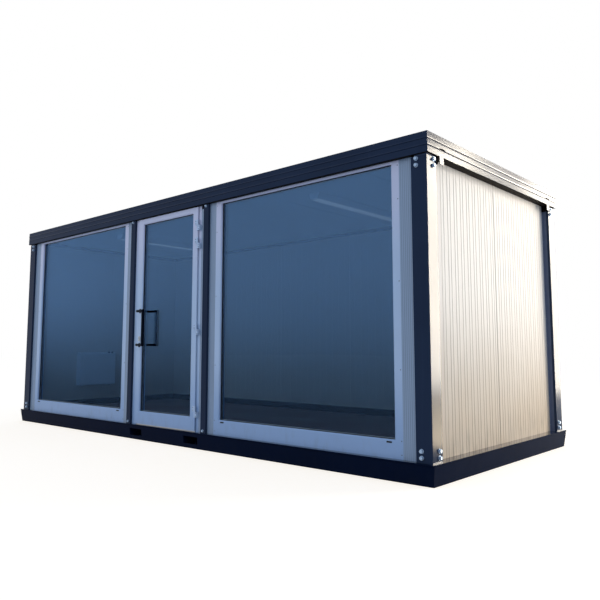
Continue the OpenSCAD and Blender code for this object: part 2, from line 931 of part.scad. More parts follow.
// Oval plates round the key cylinder, outside and inside
module door_lock() {
  r = 15;
  rise = 10;
  plate = 7;
  color("#b9bdc2")
    on_hinge()
      for (y = [leaf_face, leaf_back + plate])
        translate([leaf_x[0] + handle_edge, y, lock_z])
          rotate([90, 0, 0]) {
            for (side = [-1, 1])
              translate([0, side * rise, 0])
                cylinder(h = plate, r = r);
            translate([-r, -rise, 0])
              cube([2 * r, 2 * rise, plate]);
          }
}

// The lower half of a hinge, with its pin, is screwed to the jamb.
module hinge_frame_half() {
  half = hinge_h / 2 - 1;
  wing = 28;
  wing_front = 4 - hinge_r;
  color("#e6e9ee") {
    cylinder(h = half, r = hinge_r);
    cylinder(h = hinge_h - 6, r = pin_r);
    slab([0, wing], [wing_front, wing_front + 6], [0, half]);
    slab([hinge_r, wing], [wing_front, front_y - hinge_y], [0, half]);
  }
}

// The upper half turns on the pin and is screwed to the face of the leaf.
module hinge_leaf_half() {
  half = hinge_h / 2;
  color("#e6e9ee")
    difference() {
      union() {
        translate([0, 0, half + 1]) cylinder(h = half, r = hinge_r);
        translate([-40, -1, half + 1]) cube([40, leaf_face - hinge_y + 1, half]);
      }
      cylinder(h = hinge_h + 2, r = pin_r + pin_fit);
    }
}

module hinge_places() {
  for (z = hinge_middles)
    translate([hinge_x, hinge_y, z - hinge_h / 2])
      children();
}

module hinge_frame_halves() { hinge_places() hinge_frame_half(); }
module hinge_leaf_halves() { on_hinge() hinge_places() hinge_leaf_half(); }

// ---- Room fittings ----

// Flat convector with a louvred band below its bevelled top edge
module wall_heater() {
  wall = -half_l + in_wall_back;
  front = wall + heater[2];
  louvres = 7;
  louvre_pitch = 17;
  color("#e9eaea")
    translate([0, heater_y - heater[0] / 2, heater_z])
      difference() {
        rotate([90, 0, 180])
          linear_extrude(heater[0])
            polygon([
              [-wall - fit, 0], [-front + 8, 0], [-front, 8], [-front, heater[1] - 25],
              [-front + 18, heater[1]], [-wall - fit, heater[1]]
            ]);
        for (i = [0:louvres - 1])
          translate([front - 10, 30, heater[1] - 40 - i * louvre_pitch])
            cube([20, heater[0] - 60, 8]);
      }
}

base_front_beam();
base_back_beam();
base_left_beam();
base_right_beam();
base_corner_brackets();
fork_pocket_tubes();
floor_joists();
floor_deck();
corner_post_front_left();
corner_post_front_right();
corner_post_back_left();
corner_post_back_right();
door_post_left();
door_post_right();
roof_front_beam();
roof_back_beam();
roof_left_beam();
roof_right_beam();
roof_corner_brackets();
roof_sheet();
ceiling_panel();
ceiling_lights();
left_wall_panel_front();
left_wall_panel_back();
right_wall_panel_front();
right_wall_panel_back();
back_wall_panel_1();
back_wall_panel_2();
back_wall_panel_3();
back_wall_panel_4();
back_wall_panel_5();
wall_flashings();
skirting_boards();
front_fillers();
window_left_frame();
window_left_glass();
window_right_frame();
window_right_glass();
wall_heater();
door_frame();
door_threshold();
hinge_frame_halves();
door_leaf();
door_glass();
door_handles();
door_lock();
hinge_leaf_halves();
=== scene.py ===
import json
import math

import bmesh
import bpy
from mathutils import Matrix, Vector


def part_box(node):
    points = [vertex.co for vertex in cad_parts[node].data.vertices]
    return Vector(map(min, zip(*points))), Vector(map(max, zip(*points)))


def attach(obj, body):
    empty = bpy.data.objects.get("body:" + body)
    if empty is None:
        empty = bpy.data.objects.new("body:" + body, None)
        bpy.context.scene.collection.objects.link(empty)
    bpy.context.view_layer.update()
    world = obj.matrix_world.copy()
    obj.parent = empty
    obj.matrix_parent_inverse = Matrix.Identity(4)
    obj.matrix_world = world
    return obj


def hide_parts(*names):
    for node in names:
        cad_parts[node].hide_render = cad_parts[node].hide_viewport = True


bl_info = {
    "name": "Site cabin finish",
    "version": (1, 0, 0),
    "blender": (4, 5, 0),
    "location": "3D View > Sidebar > Cabin",
    "description": "Finishes, fixings, glazing and a plain studio for a glazed site cabin",
    "category": "Object",
}

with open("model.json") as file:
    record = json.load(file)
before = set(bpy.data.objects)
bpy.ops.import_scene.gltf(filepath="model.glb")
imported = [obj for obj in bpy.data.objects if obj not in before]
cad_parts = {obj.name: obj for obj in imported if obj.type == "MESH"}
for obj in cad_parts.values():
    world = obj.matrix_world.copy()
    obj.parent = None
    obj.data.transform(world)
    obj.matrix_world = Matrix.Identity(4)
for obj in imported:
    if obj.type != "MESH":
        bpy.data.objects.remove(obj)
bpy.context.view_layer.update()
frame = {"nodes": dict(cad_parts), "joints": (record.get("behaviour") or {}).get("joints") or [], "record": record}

CABIN = "cabin"
DOOR = "door"
GLASS_BITE = 0.012  # how far a glass unit reaches into its frame
SIDES = (-1, 1)
FRONT, BACK, UP, DOWN = (0, -1, 0), (0, 1, 0), (0, 0, 1), (0, 0, -1)
SHARP_ANGLE = 35.0  # edges that turn by more degrees than this stay sharp


def span(node):
    """Lowest and highest corner of a part at rest."""
    low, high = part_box(node)
    return Vector(low), Vector(high)


# ---------------------------------------------------------------- materials

# Colours laid over a finish: dirt, tones towards a wall's foot, and painted shade, sheen and reflections
# dusty layer on the ledges; its blue is a painted sky sheen
LEDGE_DUST_AND_SKY_SHEEN = (0.1, 0.16, 0.27)
MUD = (0.045, 0.042, 0.04)
LOWER_WALL_TAN = (0.5, 0.33, 0.15)
WALL_FOOT_DARK = (0.26, 0.22, 0.17)
COOL_SHADE = (0.24, 0.38, 0.62)
WARM_SKY_REFLECTION = (0.86, 0.74, 0.84)
RAIL_GRIME = (0.3, 0.32, 0.34)
DULL_ZINC = (0.3, 0.28, 0.25)

# Distances between the lines of a finish
WALL_LINE = 0.0125
FILLER_LINE = 0.016
DIFFUSER_PRISM = 0.006
FLOOR_SHEET = 2.0
CEILING_SHEET = 1.15


def scaled(colour, factor):
    """A colour made lighter or darker."""
    return tuple(min(1.0, part * factor) for part in colour[:3])


class Wire:
    """One output socket, which can be calculated with like a number or a vector."""

    def __init__(self, nodes, socket):
        self.nodes = nodes
        self.socket = socket

    def calculate(self, operation, *values):
        numbers = all(
            value.socket.type == "VALUE" if isinstance(value, Wire)
            else not isinstance(value, tuple)
            for value in values
        )
        kind = "Math" if numbers else "VectorMath"
        return self.nodes.add(kind, {"operation": operation}, dict(enumerate(values)))

    def __add__(self, other):
        return self.calculate("ADD", self, other)

    def __radd__(self, other):
        return self.calculate("ADD", other, self)

    def __sub__(self, other):
        return self.calculate("SUBTRACT", self, other)

    def __rsub__(self, other):
        return self.calculate("SUBTRACT", other, self)

    def __mul__(self, other):
        return self.calculate("MULTIPLY", self, other)

    def __rmul__(self, other):
        return self.calculate("MULTIPLY", other, self)

    def __truediv__(self, other):
        return self.calculate("DIVIDE", self, other)

    def __pow__(self, other):
        return self.calculate("POWER", self, other)

    def part(self, axis):
        """One of the three parts of a vector."""
        return self.nodes.add("SeparateXYZ", None, {0: self}, "XYZ".index(axis))

    def wave(self, pitch):
        """A triangle wave from 0 to 1 and back, once every pitch."""
        return self.calculate("PINGPONG", self, pitch / 2) / (pitch / 2)

    def rise(self, start, end):
        """0 before start and 1 after end, with a smooth step between them."""
        return self.nodes.add(
            "MapRange",
            {"interpolation_type": "SMOOTHSTEP"},
            {"Value": self, "From Min": start, "From Max": end},
        )

    def between(self, low, high):
        """low where this is 0 and high where it is 1."""
        colours = any(
            isinstance(value, tuple) or isinstance(value, Wire) and value.socket.type != "VALUE"
            for value in (low, high)
        )
        kind = "Mix"
        if colours:
            return self.nodes.add(kind, {"data_type": "RGBA"}, {0: self, 6: low, 7: high}, 2)
        return self.nodes.add(kind, {"data_type": "FLOAT"}, {0: self, 2: low, 3: high})

    def shades(self, colour, low, high):
        """The colour scaled by low where this is 0 and by high where it is 1."""
        return self.between(scaled(colour, low), scaled(colour, high))


class Nodes:
    """The nodes of a material or of the world."""

    def __init__(self, owner):
        owner.use_nodes = True
        self.tree = owner.node_tree
        self.tree.nodes.clear()

    def add(self, kind, settings=None, values=None, output=0):
        """Adds a node: its settings first, then the values or wires of its sockets."""
        node = self.tree.nodes.new("ShaderNode" + kind)
        for key, value in (settings or {}).items():
            setattr(node, key, value)
        for key, value in (values or {}).items():
            self.feed(node.inputs[key], value)
        return None if output is None else Wire(self, node.outputs[output])

    def feed(self, socket, value):
        if isinstance(value, Wire):
            self.tree.links.new(value.socket, socket)
        elif socket.type == "RGBA":
            socket.default_value = (*value[:3], 1.0)
        elif socket.type == "VECTOR" and not isinstance(value, tuple):
            socket.default_value = (value,) * 3
        else:
            socket.default_value = value

    def seen_directly(self):
        """1 for rays that come from the eye, straight or by way of a mirror or a pane."""
        seen = 0.0
        for ray in ("Is Camera Ray", "Is Glossy Ray", "Is Transmission Ray"):
            seen = self.add("LightPath", output=ray) + seen
        return seen.rise(0.0, 0.9)


class Finish(Nodes):
    """A material under construction; its textures are sized in metres on the cabin."""

    def __init__(self, name):
        self.material = bpy.data.materials.new(name)
        super().__init__(self.material)
        self.spot = self.add("TexCoord", output="Object")

    def noise(self, size, detail=2.0, stretch=(1.0, 1.0, 1.0)):
        """Soft noise with blobs about as large as size."""
        return self.add(
            "TexNoise",
            None,
            {"Vector": self.spot * stretch, "Scale": 1.0 / size, "Detail": detail},
        )

    def flakes(self, size):
        """A value of its own for each of many irregular cells about as large as size."""
        values = {"Vector": self.spot, "Scale": 1.0 / size}
        return self.add("TexVoronoi", None, values, "Color").part("X")

    def along_wall(self):
        """Distance along a wall, whichever side of the cabin it is on."""
        return self.spot.part("X") + self.spot.part("Y")

    def facing_up(self):
        """1 on surfaces that lie flat and face up, 0 on walls."""
        normal = self.add("NewGeometry", output="Normal")
        return normal.part("Z").rise(0.55, 0.95)

    def paint(self, colour, roughness, height, constants=None):
        """Sets the surface; height is the relief in metres."""
        relief = self.add("Bump", None, {"Height": height, "Distance": 1.0})
        values = {"Base Color": colour, "Roughness": roughness, "Normal": relief}
        values.update(constants or {})
        return self.show(self.add("BsdfPrincipled", None, values))

    def show(self, surface):
        self.add("OutputMaterial", None, {"Surface": surface}, None)
        return self.material


def frame_paint(name, colour, tint_strength, shine, mud=0.0, wet=0.0):
    """Stoving enamel with orange peel, mud low down, and on its ledges a wet gloss or a dusty layer whose blue is
    a painted sky sheen.
    """
    finish = Finish(name)
    cloud = finish.noise(0.45, 3.0)
    streak = finish.noise(0.05, 3.0, (1.0, 1.0, 0.06))
    painted_sheen_film = finish.facing_up() * finish.noise(0.12, 4.0).rise(0.3, 0.75) * tint_strength
    low = 1.0 - finish.spot.part("Z").rise(0.0, 0.16)
    splash = low * finish.noise(0.07, 5.0, (1.0, 1.0, 0.5)).rise(0.4, 0.75) * mud
    body = cloud.shades(colour, 0.85, 1.2)
    body = (streak.rise(0.55, 0.8) * 0.25).between(body, scaled(colour, 1.5))
    # painted sheen: the dusty blue on the ledges stands partly for the sky they mirror
    body = painted_sheen_film.between(body, LEDGE_DUST_AND_SKY_SHEEN)
    body = splash.between(body, MUD)
    rough = cloud.between(0.14, 0.22) + painted_sheen_film * 0.3 + splash * 0.4
    peel = finish.noise(0.006) * 0.00001 + cloud * 0.0002
    ledge = {"Coat Weight": finish.facing_up() * wet, "Coat Roughness": 0.06}
    return finish.paint(body, rough, peel, {"Specular IOR Level": shine, **ledge})


def wall_sheet_paint(colour):
    """Coated sheet of the sandwich panels: pressed lines darkened by painted shade, run-off streaks, and a tone
    that is more tan and darker towards the foot.
    """
    finish = Finish("wall_sheet_paint")
    line = finish.along_wall().wave(WALL_LINE)
    run = finish.noise(0.03, 3.0, (1.0, 1.0, 0.03))
    cloud = finish.noise(0.5, 3.0)
    height = finish.spot.part("Z")
    # more tan towards the bottom, fading out by 1.5 m
    tint_strength = (1.0 - height.rise(0.2, 1.5)) * cloud.between(0.6, 1.0)
    foot = 1.0 - height.rise(0.15, 0.5)
    # and darker near the foot
    foot_darkening = foot * finish.noise(0.06, 4.0, (1.0, 1.0, 0.3)).rise(0.4, 0.8)
    body = cloud.shades(colour, 0.96, 1.03)
    body = (run.rise(0.5, 0.85) * 0.25).between(body, scaled(colour, 0.84))
    # painted shade: the pressed lines are darkened as shade in their creases
    pressed = (line.rise(0.0, 0.25) * 0.12).between(scaled(colour, 0.8), body)
    body = pressed * 0.2 + body * 0.8
    body = (tint_strength * 0.62).between(body, LOWER_WALL_TAN)
    body = (foot_darkening * 0.35).between(body, WALL_FOOT_DARK)
    rough = cloud.between(0.32, 0.42) + tint_strength * 0.2 + foot_darkening * 0.2
    waviness = line.rise(0.0, 0.3) * 0.00012 + cloud * 0.001
    relief = waviness + finish.noise(0.004) * 0.00003
    return finish.paint(body, rough, relief, {"Specular IOR Level": 0.03})


def window_plastic(name, colour):
    """White window profile with painted cool shade low down, a painted warm sky reflection near the top, and dirt
    at its foot.
    """
    finish = Finish(name)
    cloud = finish.noise(0.3, 3.0)
    height = finish.spot.part("Z")
    foot = 1.0 - height.rise(0.15, 0.32)
    foot_darkening = foot * finish.noise(0.05, 5.0, (1.0, 1.0, 0.4)).rise(0.45, 0.8)
    body = cloud.shades(colour, 0.95, 1.04)
    # painted shade: the profile turns bluer low down
    shade = 1.0 - height.rise(0.2, 0.9)
    body = (shade * 0.6).between(body, COOL_SHADE)
    # painted reflection: warmer near the top, as a pink sky mirrored in it
    body = (height.rise(1.4, 2.2) * 0.6).between(body, WARM_SKY_REFLECTION)
    body = (foot_darkening * 0.3).between(body, RAIL_GRIME)
    rough = cloud.between(0.3, 0.42) + foot_darkening * 0.2
    relief = finish.noise(0.003) * 0.00003
    return finish.paint(body, rough, relief, {"Specular IOR Level": 0.35})


def rubber(name, colour, shine=0.2):
    """Black weather seal with a dusty bloom."""
    finish = Finish(name)
    bloom = finish.noise(0.02, 4.0).rise(0.4, 0.8)
    body = (bloom * 0.5).shades(colour, 0.8, 2.2)
    relief = finish.noise(0.0015) * 0.00004
    return finish.paint(body, bloom.between(0.55, 0.8), relief, {"Specular IOR Level": shine})


def tinted_glass(name, tint, sheen):
    """Clear pane that mirrors more at a grazing view, and by a painted reflection more near the top and less low
    down.
    """
    finish = Finish(name)
    facing = finish.add("LayerWeight", None, {"Blend": 0.5}, "Facing")
    # painted reflection: the mirror grows from low down to the top, standing for bright sky above and dark ground
    # below
    painted_sheen_film = finish.spot.part("Z").rise(0.3, 1.9).between(0.3, 2.3)
    mirror = (0.04 + 0.96 * facing**7.0) * painted_sheen_film
    clear = finish.add("BsdfTransparent", None, {"Color": tint})
    waves = {"Height": finish.noise(0.9) * 0.0012, "Distance": 1.0}
    ripple = finish.add("Bump", None, waves)
    mirroring = {"Color": sheen, "Roughness": 0.02, "Normal": ripple}
    gloss = finish.add("BsdfGlossy", None, mirroring)
    surface = finish.add("MixShader", None, {0: mirror, 1: clear, 2: gloss})
    return finish.show(surface)


def zinc(name, colour, spangle, bare=0.85):
    """Galvanised steel with a spangle and dull, slightly brown patches."""
    finish = Finish(name)
    flake = finish.flakes(spangle)
    patch = finish.noise(spangle * 8, 4.0).rise(0.45, 0.75)
    body = flake.shades(colour, 0.8, 1.15)
    body = (patch * 0.35).between(body, DULL_ZINC)
    rough = flake.between(0.32, 0.5) + patch * 0.12
    return finish.paint(body, rough, flake * 0.00004, {"Metallic": bare})


def bare_metal(name, colour, grain):
    """Drawn or satin metal, its grain running along the given stretch."""
    finish = Finish(name)
    line = finish.noise(0.002, 3.0, grain)
    patch = finish.noise(0.06, 3.0)
    body = line.shades(colour, 0.85, 1.1)
    body = (patch.rise(0.5, 0.8) * 0.2).between(body, scaled(colour, 0.6))
    return finish.paint(body, line.between(0.24, 0.4), line * 0.00004, {"Metallic": 0.9})


def enamel(name, colour, rough, shine=0.5):
    """Sprayed enamel or moulded plastic of one colour with a fine skin."""
    finish = Finish(name)
    cloud = finish.noise(0.08, 3.0)
    body = cloud.shades(colour, 0.92, 1.06)
    relief = finish.noise(0.003) * 0.00004
    dull = cloud.between(rough, rough + 0.12)
    return finish.paint(body, dull, relief, {"Specular IOR Level": shine})


def ribbed_filler(colour):
    """Filler strips of lined sheet between the posts and the frames, their lines darkened by painted shade."""
    finish = Finish("ribbed_filler")
    line = finish.along_wall().wave(FILLER_LINE)
    run = finish.noise(0.02, 3.0, (1.0, 1.0, 0.04))
    # painted shade: each line is darkened, the sheet between them lighter
    body = line.rise(0.1, 0.5).shades(colour, 0.72, 1.05)
    body = (run.rise(0.45, 0.8) * 0.3).between(body, scaled(colour, 0.75))
    return finish.paint(body, run.between(0.35, 0.5), line.rise(0.0, 0.4) * 0.0006)


def floor_vinyl(colour):
    """Welded vinyl sheet with flecks, dull where it is walked on."""
    finish = Finish("floor_vinyl")
    fleck = finish.flakes(0.006)
    worn = finish.noise(0.7, 3.0).rise(0.4, 0.7)
    seam = finish.spot.part("X").wave(FLOOR_SHEET).rise(0.0, 0.004)
    body = fleck.rise(0.72, 0.8).between(colour, scaled(colour, 2.0))
    body = fleck.rise(0.0, 0.15).between(scaled(colour, 0.5), body)
    body = (worn * 0.3).between(body, scaled(colour, 1.5))
    body = seam.between(scaled(colour, 0.4), body)
    relief = fleck * 0.00005 + seam * 0.0005
    return finish.paint(body, worn.between(0.5, 0.7), relief, {"Specular IOR Level": 0.15})


def ceiling_board(colour):
    """White coated ceiling panel with a fine stipple and panel joints."""
    finish = Finish("ceiling_board")
    joint = finish.spot.part("X").wave(CEILING_SHEET).rise(0.0, 0.012)
    body = finish.noise(0.5, 3.0).shades(colour, 0.94, 1.03)
    body = joint.between(scaled(colour, 0.45), body)
    return finish.paint(body, 0.5, finish.noise(0.004) * 0.0001 + joint * 0.0012)


def opal(name, colour):
    """Prismatic plastic diffuser of the ceiling lights."""
    finish = Finish(name)
    across, ahead = (finish.spot.part(axis).wave(DIFFUSER_PRISM) for axis in "XY")
    body = finish.noise(0.1).shades(colour, 0.95, 1.02)
    # painted glow: the diffuser gives off a faint light of its own though no lamp is in it
    glow = {"Emission Color": colour, "Emission Strength": 0.12}
    return finish.paint(body, 0.3, (across + ahead) * 0.0006, glow)


def studio_floor(colour, ambient):
    """Pale floor that keeps the cabin's shadow and otherwise meets a white background."""
    finish = Finish("studio_floor")
    body = finish.noise(0.02, 3.0).between(scaled(colour, 0.995), colour)
    matt = finish.add("BsdfDiffuse", None, {"Color": body})
    rest = tuple(1.0 - c * a for c, a in zip(colour, ambient))
    light = {"Color": rest, "Strength": finish.seen_directly()}
    glow = finish.add("Emission", None, light)
    return finish.show(finish.add("AddShader", None, {0: matt, 1: glow}))


# ---------------------------------------------------------------- shapes


def turned(mesh, place, profile, sides=24, radius_at=None):
    """Turns a profile of (radius, height) points about the place's own Z axis."""
    circles = []
    for radius, height in profile:
        if radius == 0.0:
            circles.append([mesh.verts.new(place @ Vector((0.0, 0.0, height)))])
            continue
        circle = []
        for i in range(sides):
            angle = 2 * math.pi * i / sides
            r = radius_at(angle, radius) if radius_at else radius
            point = Vector((r * math.cos(angle), r * math.sin(angle), height))
            circle.append(mesh.verts.new(place @ point))
        circles.append(circle)
    for low, high in zip(circles, circles[1:]):
        for i in range(sides):
            j = (i + 1) % sides
            if len(low) == 1:
                mesh.faces.new((low[0], high[i], high[j]))
            elif len(high) == 1:
                mesh.faces.new((low[i], low[j], high[0]))
            else:
                mesh.faces.new((low[i], low[j], high[j], high[i]))
    for circle in (circles[0], circles[-1]):
        if len(circle) > 1:
            mesh.faces.new(circle)


def facing(point, normal):
    """A place whose own Z axis is the normal and whose Y axis is as upright as it can be."""
    z = Vector(normal).normalized()
    x = Vector((0.0, 0.0, 1.0)).cross(z)
    x = x.normalized() if x.length > 0.01 else Vector((1.0, 0.0, 0.0))
    turn = Matrix((x, z.cross(x), z)).transposed().to_4x4()
    return Matrix.Translation(Vector(point)) @ turn


def block(mesh, corner, opposite, edge=0.0):
    """A box between two opposite corners in any order, its edges rounded by edge.

    It is bevelled on its own and then added, so that the faces that follow it come in the
    same order at every run.
    """
    low, high = (Vector(map(pick, corner, opposite)) for pick in (min, max))
    size, middle = high - low, (high + low) / 2
    box = bmesh.new()
    for vert in bmesh.ops.create_cube(box, size=1.0)["verts"]:
        vert.co = Vector(c * s for c, s in zip(vert.co, size)) + middle
    if edge:
        edges = box.edges[:]
        bmesh.ops.bevel(box, geom=edges, offset=edge, segments=2, profile=0.5, affect="EDGES")
    data = bpy.data.meshes.new("block")
    box.to_mesh(data)
    box.free()
    mesh.from_mesh(data)
    bpy.data.meshes.remove(data)


def ring(mesh, low, high, section):
    """Sweeps a section of (outwards, y) points round an upright rectangle with mitred corners."""
    corners = [
        (low.x, low.z, -1, -1),
        (high.x, low.z, 1, -1),
        (high.x, high.z, 1, 1),
        (low.x, high.z, -1, 1),
    ]
    loops = [
        [mesh.verts.new((x + sx * out, y, z + sz * out)) for out, y in section]
        for x, z, sx, sz in corners
    ]
    for here, there in zip(loops, loops[1:] + loops[:1]):
        for i in range(len(section)):
            j = (i + 1) % len(section)
            mesh.faces.new((here[i], there[i], there[j], here[j]))


def bead(mesh, points, radius, sides, ripple):
    """A round bead along a line of points, such as a weld or a run of sealant."""
    points = [Vector(p) for p in points]
    rings = []
    for i, point in enumerate(points):
        ahead = points[min(i + 1, len(points) - 1)] - points[max(i - 1, 0)]
        place = facing(point, ahead)
        r = radius * (1.0 + ripple * math.sin(i * 2.1))
        rings.append([
            mesh.verts.new(place @ Vector((r * math.cos(a), r * math.sin(a), 0.0)))
            for a in (2 * math.pi * k / sides for k in range(sides))
        ])
    for here, there in zip(rings, rings[1:]):
        for i in range(sides):
            j = (i + 1) % sides
            mesh.faces.new((here[i], here[j], there[j], there[i]))
    mesh.faces.new(rings[0])
    mesh.faces.new(rings[-1])


def along(start, end, step):
    """Points from start to end, about step apart."""
    start, end = Vector(start), Vector(end)
    count = max(2, round((end - start).length / step))
    return [start.lerp(end, i / count) for i in range(count + 1)]


def hex_bolt(mesh, place, flats, head, washer, thickness):
    """A washer under a chamfered hexagon head with a shallow dish in its top."""

    def hexagon(angle, radius):
        across = flats / 2 / math.cos((angle % (math.pi / 3)) - math.pi / 6)
        return min(across, radius)

    t, top = thickness, thickness + head
    soft, dish = 0.0006, 0.0006
    rim = washer - 0.0008
    turned(mesh, place, [(rim, 0.0), (washer, soft), (washer, t - soft), (rim, t)], 32)
    corner = flats * 0.58
    profile = [
        (corner, t),
        (corner, t + head * 0.82),
        (flats * 0.49, top),
        (flats * 0.3, top),
        (flats * 0.28, top - dish),
        (0.0, top - dish),
    ]
    turned(mesh, place, profile, 48, hexagon)


def screw(mesh, place, radius, height):
    """A low domed screw head with a recess."""
    dome = ((1.0, 0.0), (1.0, 0.3), (0.8, 0.75), (0.45, 1.0))
    recess = ((0.3, 1.0), (0.18, 0.45), (0.0, 0.4))
    turned(mesh, place, [(radius * out, height * up) for out, up in dome + recess], 14)


# The finishes. Those that carry the name of one of the record's material slots are for its parts.
FINISHES = {}


def piece(name, mesh, finish, body, slot=None):
    """Turns a mesh under construction into a piece that rides on a body.

    The slot argument is not used.
    """
    slot = slot or finish
    bmesh.ops.recalc_face_normals(mesh, faces=mesh.faces)
    data = bpy.data.meshes.new(name)
    mesh.to_mesh(data)
    mesh.free()
    data.shade_smooth()
    data.set_sharp_from_angle(angle=math.radians(SHARP_ANGLE))
    data.materials.append(FINISHES[finish])
    made = bpy.data.objects.new(name, data)
    bpy.context.scene.collection.objects.link(made)
    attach(made, body)
    return made


# ---------------------------------------------------------------- settings


def colour_setting(name, text, value):
    return bpy.props.FloatVectorProperty(
        name=name, description=text, subtype="COLOR", size=3, min=0.0, max=1.0, default=value
    )


def length_setting(name, text, value):
    return bpy.props.FloatProperty(
        name=name, description=text, unit="LENGTH", subtype="DISTANCE", default=value
    )


def pair_setting(name, text, value):
    return bpy.props.FloatVectorProperty(
        name=name, description=text, size=2, unit="LENGTH", default=value
    )


def power_setting(name, text, value):
    return bpy.props.FloatProperty(name=name, description=text, unit="POWER", default=value)


class CabinColours(bpy.types.PropertyGroup):
    """Colours of the cabin's finishes"""

    frame: colour_setting("Frame", "Enamel of the posts and the roof frame", (0.023, 0.036, 0.067))
    base: colour_setting("Base frame", "Enamel of the base frame", (0.004, 0.009, 0.026))
    wall: colour_setting("Wall sheet", "Coating of the wall panels", (0.69, 0.65, 0.6))
    # The profile is pale plastic; its blue grey is painted cool shade.
    profile: colour_setting("Profile", "Plastic of the windows and the door", (0.6, 0.69, 0.83))
    filler: colour_setting("Filler", "Coating of the filler strips", (0.33, 0.4, 0.5))
    seal: colour_setting("Seal", "Rubber of the seals", (0.01, 0.01, 0.012))
    # This black is painted shade under the roof frame.
    foam: colour_setting("Foam", "Foam strip under the roof frame", (0.003, 0.002, 0.002))
    flashing: colour_setting("Flashing", "Enamel of the flashings", (0.13, 0.155, 0.23))
    glass_tint: colour_setting("Glass", "What one face of a pane lets through", (0.84, 0.9, 0.95))
    # The blue of the sheen is a painted sky reflection.
    glass_sheen: colour_setting("Glass sheen", "What a pane mirrors", (0.22, 0.4, 0.7))
    floor: colour_setting("Floor", "Vinyl of the cabin's floor", (0.2, 0.115, 0.095))
    ceiling: colour_setting("Ceiling", "Coating of the ceiling", (0.72, 0.74, 0.74))


class CabinFixings(bpy.types.PropertyGroup):
    """Sizes and places of the bolts and screws"""

    flats: length_setting("Bolt flats", "Width across the flats of a bolt head", 0.024)
    head: length_setting("Bolt head", "Height of a bolt head", 0.013)
    washer: length_setting("Washer", "Radius of a bolt's washer", 0.016)
    washer_thickness: length_setting("Washer thickness", "Thickness of a bolt's washer", 0.003)
    bolt_in: length_setting("Bolt distance", "From a corner post's outer edge to the bolts", 0.086)
    bolt_foot: pair_setting("Lower bolts", "Heights above a corner post's foot", (0.033, 0.078))
    bolt_head: pair_setting("Upper bolts", "Distances from a corner post's head", (0.064, 0.016))
    rivet: length_setting("Rivet head", "Radius of a rivet's head", 0.0035)
    roof_pitch: length_setting("Roof screws", "Distance between the rows of roof screws", 0.207)


class CabinGlazing(bpy.types.PropertyGroup):
    """Sizes of the glass units and of the windows' drain caps"""

    pane: length_setting("Pane", "Thickness of one pane", 0.006)
    spacer: length_setting("Spacer", "Width of the bar between two panes", 0.02)
    lip: length_setting("Seal lip", "Visible width of the seal round the glass", 0.005)
    cap_width: length_setting("Drain cap", "Width of a drain cap", 0.045)
    cap_height: length_setting("Drain cap height", "Height of a drain cap", 0.011)
    cap_in: length_setting("Drain cap distance", "From the frame's end to a drain cap", 0.116)


class CabinDoor(bpy.types.PropertyGroup):
    """Sizes and places of the door's fittings"""

    hinge_up: pair_setting("Lower hinges", "Heights above the leaf's foot", (0.177, 0.942))
    hinge_down: pair_setting("Upper hinges", "Distances from the leaf's top", (0.355, 0.18))
    hinge_height: length_setting("Hinge height", "Height of a hinge's barrel", 0.1)
    hinge_radius: length_setting("Hinge radius", "Radius of a hinge's barrel", 0.008)
    bar: length_setting("Handle", "Radius of the handle's bar", 0.015)


class CabinStage(bpy.types.PropertyGroup):
    """The studio's floor, light and lens"""

    floor: colour_setting("Studio floor", "Colour of the studio floor", (0.5, 0.5, 0.5))
    ambient: colour_setting("Ambient light", "Light from all round", (0.37, 0.5, 0.7))
    sun: power_setting("Low sun", "Lamp that lights the side wall", 575.0)
    side: power_setting("Side", "Soft lamp beside the cabin", 60.0)
    fill: power_setting("Fill", "Soft lamp before the cabin", 120.0)
    post: power_setting("Post strip", "Lamp mirrored in the near corner post", 2500.0)
    far: power_setting("Far strip", "Lamp mirrored in the far corner post", 380.0)
    eaves: power_setting("Eaves strip", "Lamp mirrored in the upper edge of the roof frame", 640.0)
    beads: power_setting("Bead strip", "Lamp mirrored in the roof frame's beads", 380.0)
    ground: power_setting("Ground strip", "Lamp that stands for the sunlit ground", 330.0)
    lens: bpy.props.FloatProperty(name="Lens", description="Millimetres", default=37.855)


# Parts whose finish isn't that of their material slot
FINISH_OF_PART = {"roof_sheet": "roof", "wall_flashings": "flashing"}


class Builder:
    """What the cabin's operators share."""

    bl_options = {"REGISTER", "UNDO"}

    def execute(self, context):
        self.build(context.scene)
        return {"FINISHED"}


